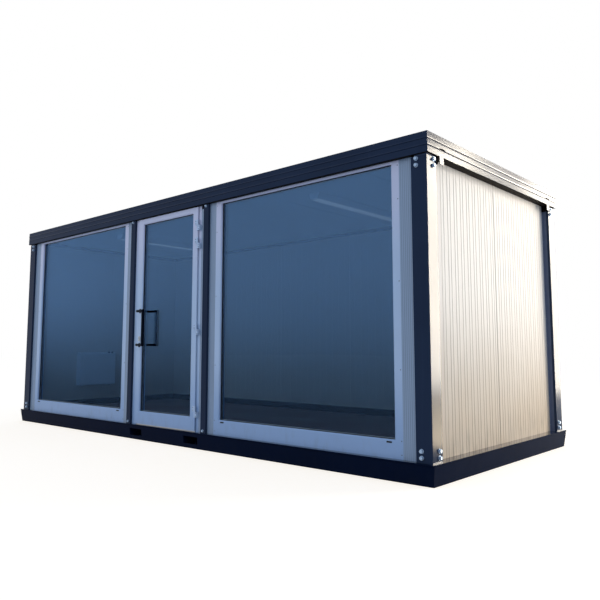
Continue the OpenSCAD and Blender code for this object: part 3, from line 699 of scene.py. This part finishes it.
class CABIN_OT_finishes(Builder, bpy.types.Operator):
    """Mix the finishes and put them on the cabin's parts"""

    bl_idname = "cabin.finishes"
    bl_label = "Finishes"

    def build(self, scene):
        c = scene.cabin_colours
        FINISHES.update(
            frame_paint=frame_paint("frame_paint", tuple(c.frame), tint_strength=0.3, shine=0.035),
            frame_paint_base=frame_paint(
                "base_paint", tuple(c.base), tint_strength=0.03, mud=0.08, shine=0.01, wet=1.0
            ),
            wall_sheet=wall_sheet_paint(tuple(c.wall)),
            window_white=window_plastic("window_profile", tuple(c.profile)),
            filler_grey=ribbed_filler(tuple(c.filler)),
            seal=rubber("seal_rubber", tuple(c.seal)),
            foam=rubber("black_foam", tuple(c.foam), shine=0.05),
            window_glass=tinted_glass("window_glass", tuple(c.glass_tint), tuple(c.glass_sheen)),
            zinc_steel=zinc("joist_zinc", (0.45, 0.46, 0.47), 0.02),
            roof=zinc("roof_zinc", (0.5, 0.51, 0.52), 0.014, 0.6),
            # the blue of the bolt zinc is a painted sky reflection
            bolt=zinc("bolt_zinc", (0.36, 0.48, 0.64), 0.004, 0.5),
            flashing=enamel("flashing_enamel", tuple(c.flashing), 0.45, 0.1),
            bracket_steel=enamel("bracket_enamel", scaled(c.frame, 2.0), 0.5, 0.2),
            spacer=bare_metal("spacer_bar", (0.35, 0.37, 0.4), (1.0, 1.0, 1.0)),
            threshold_metal=bare_metal("threshold_metal", (0.6, 0.61, 0.63), (0.03, 1.0, 1.0)),
            lock_metal=bare_metal("lock_nickel", (0.55, 0.55, 0.54), (1.0, 1.0, 0.1)),
            handle_black=enamel("handle_black", (0.004, 0.006, 0.012), 0.4, 0.03),
            hinge_white=enamel("hinge_white", scaled(c.profile, 1.03), 0.3),
            plastic=enamel("black_plastic", (0.008, 0.008, 0.009), 0.45, 0.2),
            heater_enamel=enamel("heater_enamel", (0.75, 0.76, 0.76), 0.35),
            skirting_dark=enamel("skirting_vinyl", (0.004, 0.004, 0.006), 0.5, 0.1),
            floor_vinyl=floor_vinyl(tuple(c.floor)),
            ceiling_board=ceiling_board(tuple(c.ceiling)),
            light_housing=enamel("light_housing", (0.75, 0.75, 0.74), 0.35),
            opal=opal("light_diffuser", (0.85, 0.86, 0.85)),
            sealant=enamel("grey_sealant", (0.2, 0.21, 0.23), 0.55),
        )
        for part in frame["record"]["subparts"]:
            finish = FINISHES[FINISH_OF_PART.get(part["node"], part["material_slot"])]
            for slot in frame["nodes"][part["node"]].material_slots:
                slot.link = "OBJECT"
                slot.material = finish


class CABIN_OT_post_bolts(Builder, bpy.types.Operator):
    """Bolt the posts to the base frame and the roof frame"""

    bl_idname = "cabin.post_bolts"
    bl_label = "Post bolts"

    def build(self, scene):
        f = scene.cabin_fixings
        mesh = bmesh.new()
        low, high = span("corner_post_front_right")
        heights = [low.z + rise for rise in f.bolt_foot]
        heights += [high.z - drop for drop in f.bolt_head]
        for sx in SIDES:
            for sy in SIDES:
                for z in heights:
                    front = facing((sx * (high.x - f.bolt_in), sy * -low.y, z), (0, sy, 0))
                    side = facing((sx * high.x, sy * (-low.y - f.bolt_in), z), (sx, 0, 0))
                    for place in (front, side):
                        hex_bolt(mesh, place, f.flats, f.head, f.washer, f.washer_thickness)
        # one smaller bolt at each end of a door post
        small, flat, in_from_end = 0.8, 0.7, 0.02
        for node in ("door_post_left", "door_post_right"):
            low, high = span(node)
            for z in (low.z + in_from_end, high.z - in_from_end):
                place = facing(((low.x + high.x) / 2, low.y, z), FRONT)
                sizes = (f.flats * small, f.head * flat, f.washer * small, f.washer_thickness)
                hex_bolt(mesh, place, *sizes)
        piece("post_bolts", mesh, "bolt", CABIN, "zinc_steel")


class CABIN_OT_head_joints(Builder, bpy.types.Operator):
    """Line the joint under the roof frame with black strips of painted shade and fit the plates behind the bolts
    """

    bl_idname = "cabin.head_joints"
    bl_label = "Head joints"

    def build(self, scene):
        foam, plates = bmesh.new(), bmesh.new()
        roof_low, roof_high = span("roof_front_beam")
        post_low, post_high = span("corner_post_front_right")
        wall_face = span("right_wall_panel_front")[1].x
        front = -span("window_right_frame")[0].y
        under = roof_low.z
        # The black strips are painted shade: dark sheets put under the roof frame, over the post heads and in the
        # recesses, where only shade falls.
        foam_low, foam_high = under - 0.0018, under - 0.0001
        edge_in, off_wall, off_front = 0.006, 0.003, 0.0005
        edge_x, edge_y = roof_high.x - edge_in, -roof_low.y - edge_in

        # under the flange, between the fascia and the walls
        face_x, face_y = wall_face + off_wall, front + off_front
        back_y = -post_low.y - (post_high.x - wall_face) + off_wall
        for sy, inner in ((-1, face_y), (1, back_y)):
            block(foam, (-edge_x, sy * inner, foam_low), (edge_x, sy * edge_y, foam_high))
        for sx in SIDES:
            block(foam, (sx * face_x, -face_y, foam_low), (sx * edge_x, face_y, foam_high))

        width = post_high.x - post_low.x
        post_edge = -post_low.y - width
        lid = (0.008, width - 0.002)
        lid_foot, plate_head = post_high.z + 0.0005, post_high.z - 0.001
        recess_foot, plate_foot = under - 0.054, under - 0.1
        for sx in SIDES:
            for sy in SIDES:
                # over the head of the corner post
                outer, inner = (
                    (sx * (post_high.x - back), sy * (-post_low.y - back)) for back in lid
                )
                block(foam, (*outer, lid_foot), (*inner, foam_low))
                # in the recess behind the hanging tab
                foot = (sx * face_x, sy * (post_edge - 0.0005), recess_foot)
                head = (sx * (post_high.x + 0.004), sy * (post_edge - 0.021), foam_low)
                block(foam, foot, head)
                # behind the sheet that the bolts clamp
                foot = (sx * (post_high.x - 0.0045), sy * (post_edge + 0.001), plate_foot)
                head = (sx * (post_high.x - 0.01), sy * (post_edge + 0.06), plate_head)
                block(plates, foot, head, 0.0005)

        # in the notch beside the door
        left = span("door_frame")[1].x + 0.0006
        right = span("door_post_right")[0].x - 0.0006
        foot = (left, -front + 0.004, under - 0.0345)
        head = (right, -front + 0.0295, under - 0.002)
        block(foam, foot, head)
        piece("head_foam", foam, "foam", CABIN, "handle_black")
        piece("bolt_plates", plates, "bracket_steel", CABIN)


class CABIN_OT_glazing(Builder, bpy.types.Operator):
    """Glaze the windows and the door with double panes, spacer bars and seals"""

    bl_idname = "cabin.glazing"
    bl_label = "Glazing"

    def build(self, scene):
        g = scene.cabin_glazing
        units = {"window_left_glass": CABIN, "window_right_glass": CABIN, "door_glass": DOOR}
        inset, bar = -0.003, -g.spacer
        # the visible lip of a seal: reach over the glass and height above it
        lip = ((0.001, 0.005), (-g.lip * 0.4, 0.0045), (-g.lip * 0.9, 0.002), (-g.lip, 0.0))
        bite = Vector((GLASS_BITE, 0.0, GLASS_BITE))
        for node, body in units.items():
            low, high = span(node)
            mesh = bmesh.new()
            for y in (low.y, high.y - g.pane):
                block(mesh, (low.x, y, low.z), (high.x, y + g.pane, high.z))
            panes = piece(node + "_panes", mesh, "window_glass", body)
            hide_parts(node)
            mesh = bmesh.new()
            front, back = low.y + g.pane, high.y - g.pane
            ring(mesh, low, high, [(inset, front), (inset, back), (bar, back), (bar, front)])
            piece(node + "_spacer", mesh, "spacer", body, "lock_metal")
            mesh = bmesh.new()
            for y, out in ((low.y, -1), (high.y, 1)):
                section = [(lip[0][0], y)] + [(reach, y + out * rise) for reach, rise in lip]
                ring(mesh, low + bite, high - bite, section)
            piece(node + "_seals", mesh, "seal", body, "window_glass")


class CABIN_OT_drain_caps(Builder, bpy.types.Operator):
    """Fit the drain caps in the bottom rails of the windows, with the frames' fixing plugs"""

    bl_idname = "cabin.drain_caps"
    bl_label = "Drain caps"

    def build(self, scene):
        g = scene.cabin_glazing
        caps, plugs = bmesh.new(), bmesh.new()
        half, half_height = g.cap_width / 2, g.cap_height / 2
        below_glass, plug_in, plug, plug_rise = 0.018, 0.012, 0.0045, 0.0012
        plug_heights = (0.03, 0.125, 0.62, 1.25, 1.85, 2.1)
        for side in ("left", "right"):
            low, high = span(f"window_{side}_frame")
            glass = span(f"window_{side}_glass")[0]
            y, z = low.y, glass.z + GLASS_BITE - below_glass
            for x in (low.x + g.cap_in, high.x - g.cap_in):
                foot = (x - half, y - 0.004, z - half_height)
                head = (x + half, y + 0.001, z + half_height)
                block(caps, foot, head, 0.0018)
                # the hood in its upper half
                foot = (x - half + 0.004, y - 0.007, z)
                head = (x + half - 0.004, y - 0.003, z + half_height - 0.001)
                block(caps, foot, head, 0.0015)
            for x in (low.x + plug_in, high.x - plug_in):
                for height in plug_heights:
                    screw(plugs, facing((x, y, low.z + height), FRONT), plug, plug_rise)
        piece("window_drain_caps", caps, "plastic", CABIN, "handle_black")
        piece("window_fixing_plugs", plugs, "sealant", CABIN, "window_white")


class CABIN_OT_door_seals(Builder, bpy.types.Operator):
    """Run the door's weather seals round its frame, with the keeps of the lock"""

    bl_idname = "cabin.door_seals"
    bl_label = "Door seals and keeps"

    def build(self, scene):
        leaf_low, leaf_high = span("door_leaf")
        face = span("door_frame")[0].y

        # one round the leaf on the face of the frame, one on the stop that the closed leaf meets
        outer = ((0.0, 0.0005), (0.0, 0.0045), (-0.004, 0.0048), (-0.006, 0.003), (-0.006, 0.0005))
        inner = ((0.0, 0.0), (0.0, 0.0035), (-0.004, 0.0042), (-0.006, 0.002), (-0.006, 0.0))
        stop = leaf_high.y + 0.005
        for name, section, y, jamb, foot, finish in (
            ("door_outer_seal", outer, face, 0.005, 0.005, "sealant"),
            ("door_inner_seal", inner, stop, 0.0195, 0.017, "seal"),
        ):
            low = Vector((leaf_low.x + jamb, 0.0, leaf_low.z + foot))
            high = Vector((leaf_high.x - jamb, 0.0, leaf_high.z - jamb))
            mesh = bmesh.new()
            ring(mesh, low, high, [(out, y - proud) for out, proud in section])
            piece(name, mesh, finish, CABIN, "handle_black")

        # the keep, screwed to the frame beside the lock
        lock_low, lock_high = span("door_lock")
        x, z = leaf_low.x - 0.016, (lock_low.z + lock_high.z) / 2
        proud = face - 0.006
        mesh = bmesh.new()
        block(mesh, (x - 0.009, proud, z - 0.085), (x + 0.006, face, z - 0.04), 0.0015)
        for drop in (0.075, 0.05):
            screw(mesh, facing((x - 0.002, proud, z - drop), FRONT), 0.003, 0.001)
        piece("door_lock_keep", mesh, "lock_metal", CABIN)


class CABIN_OT_lock_and_handle(Builder, bpy.types.Operator):
    """Fit the key cylinders and the roses of the pull handles"""

    bl_idname = "cabin.lock_and_handle"
    bl_label = "Lock and handles"

    def build(self, scene):
        low, high = span("door_lock")
        x, z = (low.x + high.x) / 2, (low.z + high.z) / 2
        core, tail, slot = 0.003, 0.0018, 0.0004
        cylinder = [(0.0085, 0.0), (0.0085, 0.0022), (0.0078, core), (0.0, core)]
        metal, slots = bmesh.new(), bmesh.new()
        for y, out in ((low.y, -1), (high.y, 1)):
            turned(metal, facing((x, y, z + 0.006), (0, out, 0)), cylinder, 24)
            face, tail_face = y + out * core, y + out * tail
            block(metal, (x - 0.005, y, z - 0.018), (x + 0.005, tail_face, z - 0.001), 0.0008)
            foot = (x - 0.0011, face, z + 0.0005)
            head = (x + 0.0011, face + out * slot, z + 0.0115)
            block(slots, foot, head, 0.0001)
            for sz in SIDES:
                screw(metal, facing((x, y, z + sz * 0.0215), (0, out, 0)), 0.0022, 0.0007)
        piece("lock_cylinders", metal, "bolt", DOOR, "lock_metal")
        piece("lock_key_holes", slots, "plastic", DOOR, "handle_black")

        low, high = span("door_handles")
        leaf_low, leaf_high = span("door_leaf")
        radius = scene.cabin_door.bar
        foot, arm = 0.0225, 0.0172
        rose = [(foot, 0.0), (foot, 0.0025), (0.0205, 0.005), (arm, 0.006), (arm, 0.0)]
        roses = bmesh.new()
        for y, out in ((leaf_low.y, -1), (leaf_high.y, 1)):
            for z in (low.z + radius, high.z - radius):
                turned(roses, facing((low.x + radius + 0.002, y, z), (0, out, 0)), rose, 32)
        piece("handle_roses", roses, "handle_black", DOOR)


class CABIN_OT_hinge_trim(Builder, bpy.types.Operator):
    """Cap the hinges and screw them down"""

    bl_idname = "cabin.hinge_trim"
    bl_label = "Hinge trim"

    def build(self, scene):
        d = scene.cabin_door
        leaf_low, leaf_high = span("door_leaf")
        plate_low = span("hinge_leaf_halves")[0]
        wing_low, wing_high = span("hinge_frame_halves")
        x, y = frame["joints"][0]["pos_m"][:2]
        r, half = d.hinge_radius - 0.0002, d.hinge_height / 2
        dome = [(r, 0.0), (r, 0.002), (r * 0.7, 0.0045), (0.0, 0.005)]
        head, head_height = 0.0042, 0.0018
        middles = [leaf_low.z + rise for rise in d.hinge_up]
        middles += [leaf_high.z - drop for drop in d.hinge_down]
        moving, fixed, screws_moving, screws_fixed = (bmesh.new() for i in range(4))
        for z in middles:
            turned(moving, facing((x, y, z + half + 0.001), UP), dome, 24)
            turned(fixed, facing((x, y, z - half), DOWN), dome, 24)
            for from_middle in (0.014, 0.038):
                place = facing((plate_low.x + 0.012, y - 0.001, z + from_middle), FRONT)
                screw(screws_moving, place, head, head_height)
                point = (wing_high.x - 0.009, wing_low.y + 0.004, z - from_middle)
                screw(screws_fixed, facing(point, FRONT), head, head_height)
        piece("hinge_leaf_caps", moving, "hinge_white", DOOR)
        piece("hinge_frame_caps", fixed, "hinge_white", CABIN)
        piece("hinge_leaf_screws", screws_moving, "plastic", DOOR, "handle_black")
        piece("hinge_frame_screws", screws_fixed, "plastic", CABIN, "handle_black")


class CABIN_OT_wall_rivets(Builder, bpy.types.Operator):
    """Rivet the flashings to the wall panels"""

    bl_idname = "cabin.wall_rivets"
    bl_label = "Wall rivets"

    def build(self, scene):
        radius, height = scene.cabin_fixings.rivet, 0.0014
        wall_low, wall_high = span("right_wall_panel_front")
        post_low = span("corner_post_back_right")[0]
        flashing, from_post = 0.0021, 0.009
        side_face = wall_high.x + flashing
        back_face = span("back_wall_panel_3")[1].y + flashing
        side_y, back_x = post_low.y - from_post, post_low.x - from_post
        gaps, foot, head = 8, 0.06, 0.1
        mesh = bmesh.new()
        for i in range(gaps + 1):
            z = wall_low.z + foot + (wall_high.z - wall_low.z - foot - head) * i / gaps
            for s in SIDES:
                for sx in SIDES:
                    place = facing((sx * side_face, s * side_y, z), (sx, 0, 0))
                    screw(mesh, place, radius, height)
                screw(mesh, facing((s * back_x, back_face, z), BACK), radius, height)
        piece("wall_rivets", mesh, "bolt", CABIN, "zinc_steel")


class CABIN_OT_welds(Builder, bpy.types.Operator):
    """Weld the mitred corners of the base frame"""

    bl_idname = "cabin.welds"
    bl_label = "Base welds"

    def build(self, scene):
        base = bmesh.new()
        low, high = span("base_front_beam")
        # the beams lean in towards the ground
        foot_in, top_in = 0.021, 0.0025
        foot_z, top_z = 0.004, high.z - 0.012
        step, radius, sides, ripple = 0.006, 0.0022, 6, 0.25
        for sx in SIDES:
            for sy in SIDES:
                x, y = sx * high.x, sy * -low.y
                foot = (x - sx * foot_in, y - sy * foot_in, foot_z)
                top = (x - sx * top_in, y - sy * top_in, top_z)
                bead(base, along(foot, top, step), radius, sides, ripple)
        piece("base_corner_welds", base, "frame_paint_base", CABIN)


class CABIN_OT_roof_trim(Builder, bpy.types.Operator):
    """Screw the roof sheet down and seal it to the upstand"""

    bl_idname = "cabin.roof_trim"
    bl_label = "Roof trim"

    def build(self, scene):
        low, high = span("roof_sheet")
        pitch = scene.cabin_fixings.roof_pitch
        ribs = int((high.x - 0.06) / pitch)
        in_from_edge, third = 0.03, 0.33
        rows = (low.y + in_from_edge, low.y * third, high.y * third, high.y - in_from_edge)
        washer = [(0.009, 0.0), (0.009, 0.0015), (0.007, 0.003), (0.0, 0.0031)]
        flats, head, flange, flange_thickness = 0.008, 0.005, 0.0075, 0.001
        screws, washers, seal = bmesh.new(), bmesh.new(), bmesh.new()
        for i in range(-ribs, ribs + 1):
            for y in rows:
                turned(washers, facing((i * pitch, y, high.z), UP), washer, 16)
                place = facing((i * pitch, y, high.z + 0.002), UP)
                hex_bolt(screws, place, flats, head, flange, flange_thickness)
        z = low.z + 0.003
        step, radius, sides, ripple = 0.03, 0.005, 8, 0.12
        corners = [(low.x, low.y), (high.x, low.y), (high.x, high.y), (low.x, high.y)]
        for (x0, y0), (x1, y1) in zip(corners, corners[1:] + corners[:1]):
            bead(seal, along((x0, y0, z), (x1, y1, z), step), radius, sides, ripple)
        piece("roof_screws", screws, "bolt", CABIN, "zinc_steel")
        piece("roof_screw_seals", washers, "seal", CABIN, "handle_black")
        piece("roof_edge_sealant", seal, "sealant", CABIN, "filler_grey")


class CABIN_OT_room_trim(Builder, bpy.types.Operator):
    """Fit the diffusers of the ceiling lights and the controls of the heater"""

    bl_idname = "cabin.room_trim"
    bl_label = "Room trim"

    def build(self, scene):
        low, high = span("ceiling_lights")
        half_light, half_opal, end = 0.06, 0.043, 0.03
        diffusers = bmesh.new()
        for side in SIDES:
            x = side * (high.x - half_light)
            foot = (x - half_opal, low.y + end, low.z - 0.006)
            head = (x + half_opal, high.y - end, low.z + 0.002)
            block(diffusers, foot, head, 0.003)
        piece("light_diffusers", diffusers, "opal", CABIN, "light_housing")

        low, high = span("wall_heater")
        knob = [(0.014, 0.0), (0.014, 0.006), (0.011, 0.014), (0.0, 0.0145)]
        tilt = (0.35, 0.0, 0.94)
        knobs, feet = bmesh.new(), bmesh.new()
        for from_end in (0.05, 0.1):
            point = (high.x - 0.012, high.y - from_end, high.z - 0.006)
            turned(knobs, facing(point, tilt), knob, 24)
        for y in (low.y + 0.06, high.y - 0.06):
            foot = (low.x + 0.01, y - 0.012, low.z - 0.012)
            head = (high.x - 0.02, y + 0.012, low.z + 0.001)
            block(feet, foot, head, 0.002)
        piece("heater_knobs", knobs, "plastic", CABIN, "handle_black")
        piece("heater_feet", feet, "heater_enamel", CABIN)


# The lamps: name, setting of its power, width and height, place, target, colour, what it
# leaves out, and its turn about its own axis. The soft lamps light the cabin without being
# mirrored in it; the strips are only mirrored.
SUNLIGHT, WARM, GOLD = (1.0, 0.9, 0.76), (1.0, 0.91, 0.77), (1.0, 0.82, 0.55)
PALE, COOL = (1.0, 0.95, 0.9), (0.85, 0.92, 1.0)
MIRRORED, LIT = "visible_glossy", "visible_diffuse"
LAMPS = (
    ("low_sun", "sun", (2.4, 2.0), (8.2, 6.6, 2.2), (2.95, 0.0, 1.2), SUNLIGHT, MIRRORED, 0.0),
    ("side_soft", "side", (5.0, 4.0), (10.0, -1.0, 3.0), (2.9, 0.0, 1.2), PALE, MIRRORED, 0.0),
    ("front_fill", "fill", (6.0, 4.0), (-4.0, -10.0, 5.0), (0.0, -1.0, 1.2), COOL, MIRRORED, 0.0),
    ("post_strip", "post", (1.5, 6.4), (8.25, 8.0, 2.4), (3.0, -1.1, 1.4), WARM, LIT, 0.0),
    ("far_strip", "far", (0.9, 4.4), (5.5, 8.0, 2.2), (3.0, 1.1, 1.4), WARM, LIT, 0.0),
    ("eaves_strip", "eaves", (6.0, 4.0), (6.6, 8.0, 6.0), (3.0, 0.0, 2.36), WARM, LIT, -30.0),
    ("bead_strip", "beads", (1.2, 4.6), (4.03, 8.0, 6.8), (3.0, 0.0, 2.4), WARM, LIT, 12.0),
    ("ground_strip", "ground", (0.4, 6.6), (5.4, 3.1, 0.02), (5.4, 3.1, 1.0), GOLD, LIT, 30.0),
)

STUDIO_RADIUS = 90.0
FLOOR_DROP = 0.0005  # keeps the studio floor clear of the base frame's foot
CAMERA_PLACE = (5.2208, -4.9699, 0.9201)
CAMERA_HEADING, CAMERA_TILT, CAMERA_ROLL = 41.46648, 5.98033, -0.06297
CAMERA_SHIFT = (-0.01144, -0.02935)


class CABIN_OT_studio(Builder, bpy.types.Operator):
    """Set up the floor, the soft light and the camera"""

    bl_idname = "cabin.studio"
    bl_label = "Studio"

    def build(self, scene):
        s = scene.cabin_stage
        ambient = tuple(s.ambient)
        self.lay_floor(scene, studio_floor(tuple(s.floor), ambient))
        self.light_world(scene, ambient)
        for name, setting, *rest in LAMPS:
            self.hang_lamp(scene, name, getattr(s, setting), *rest)
        scene.view_settings.view_transform = "Standard"
        self.place_camera(scene, s.lens)

    def lay_floor(self, scene, finish):
        mesh = bmesh.new()
        bmesh.ops.create_circle(mesh, cap_ends=True, segments=96, radius=STUDIO_RADIUS)
        data = bpy.data.meshes.new("studio_floor")
        mesh.to_mesh(data)
        mesh.free()
        data.materials.append(finish)
        floor = bpy.data.objects.new("studio_floor", data)
        floor.location.z = -FLOOR_DROP
        scene.collection.objects.link(floor)

    def light_world(self, scene, ambient):
        scene.world = bpy.data.worlds.new("studio")
        sky = Nodes(scene.world)
        soft = sky.add("Background", None, {"Color": ambient})
        white = sky.add("Background", None, {"Color": (1.0, 1.0, 1.0)})
        mix = sky.add("MixShader", None, {0: sky.seen_directly(), 1: soft, 2: white})
        sky.add("OutputWorld", None, {"Surface": mix}, None)

    def hang_lamp(self, scene, name, power, size, place, target, colour, left_out, roll):
        light = bpy.data.lights.new(name, "AREA")
        light.energy, light.color = power, colour
        light.shape, light.size, light.size_y = "RECTANGLE", *size
        made = bpy.data.objects.new(name, light)
        made.location = place
        turn = (Vector(target) - Vector(place)).to_track_quat("-Z", "Y").to_matrix()
        made.rotation_euler = (turn @ Matrix.Rotation(math.radians(roll), 3, "Z")).to_euler()
        made.visible_camera = False
        setattr(made, left_out, False)
        scene.collection.objects.link(made)

    def place_camera(self, scene, lens):
        data = bpy.data.cameras.new("camera")
        data.lens = lens
        data.shift_x, data.shift_y = CAMERA_SHIFT
        camera = bpy.data.objects.new("camera", data)
        heading = Matrix.Rotation(math.radians(CAMERA_HEADING), 4, "Z")
        tilt = Matrix.Rotation(math.radians(90.0 + CAMERA_TILT), 4, "X")
        roll = Matrix.Rotation(math.radians(CAMERA_ROLL), 4, "Z")
        camera.matrix_world = Matrix.Translation(CAMERA_PLACE) @ heading @ tilt @ roll
        scene.collection.objects.link(camera)
        scene.camera = camera


SETTINGS = (
    ("cabin_colours", CabinColours),
    ("cabin_fixings", CabinFixings),
    ("cabin_glazing", CabinGlazing),
    ("cabin_door", CabinDoor),
    ("cabin_stage", CabinStage),
)
OPERATORS = (
    CABIN_OT_finishes,
    CABIN_OT_post_bolts,
    CABIN_OT_head_joints,
    CABIN_OT_glazing,
    CABIN_OT_drain_caps,
    CABIN_OT_door_seals,
    CABIN_OT_lock_and_handle,
    CABIN_OT_hinge_trim,
    CABIN_OT_wall_rivets,
    CABIN_OT_welds,
    CABIN_OT_roof_trim,
    CABIN_OT_room_trim,
    CABIN_OT_studio,
)


class CABIN_PT_panel(bpy.types.Panel):
    """The cabin's settings and the buttons that build its pieces"""

    bl_label = "Site cabin"
    bl_space_type = "VIEW_3D"
    bl_region_type = "UI"
    bl_category = "Cabin"

    def draw(self, context):
        for name, group in SETTINGS:
            column = self.layout.column(heading=name.removeprefix("cabin_").title())
            settings = getattr(context.scene, name)
            for setting in group.__annotations__:
                column.prop(settings, setting)
        for operator in OPERATORS:
            self.layout.operator(operator.bl_idname)


def register():
    for name, group in SETTINGS:
        bpy.utils.register_class(group)
        setattr(bpy.types.Scene, name, bpy.props.PointerProperty(type=group))
    for operator in OPERATORS:
        bpy.utils.register_class(operator)
    bpy.utils.register_class(CABIN_PT_panel)


def unregister():
    bpy.utils.unregister_class(CABIN_PT_panel)
    for operator in reversed(OPERATORS):
        bpy.utils.unregister_class(operator)
    for name, group in reversed(SETTINGS):
        delattr(bpy.types.Scene, name)
        bpy.utils.unregister_class(group)


def main():
    register()
    for operator in OPERATORS:
        group, name = operator.bl_idname.split(".")
        getattr(getattr(bpy.ops, group), name)()


if __name__ == "__main__":
    main()
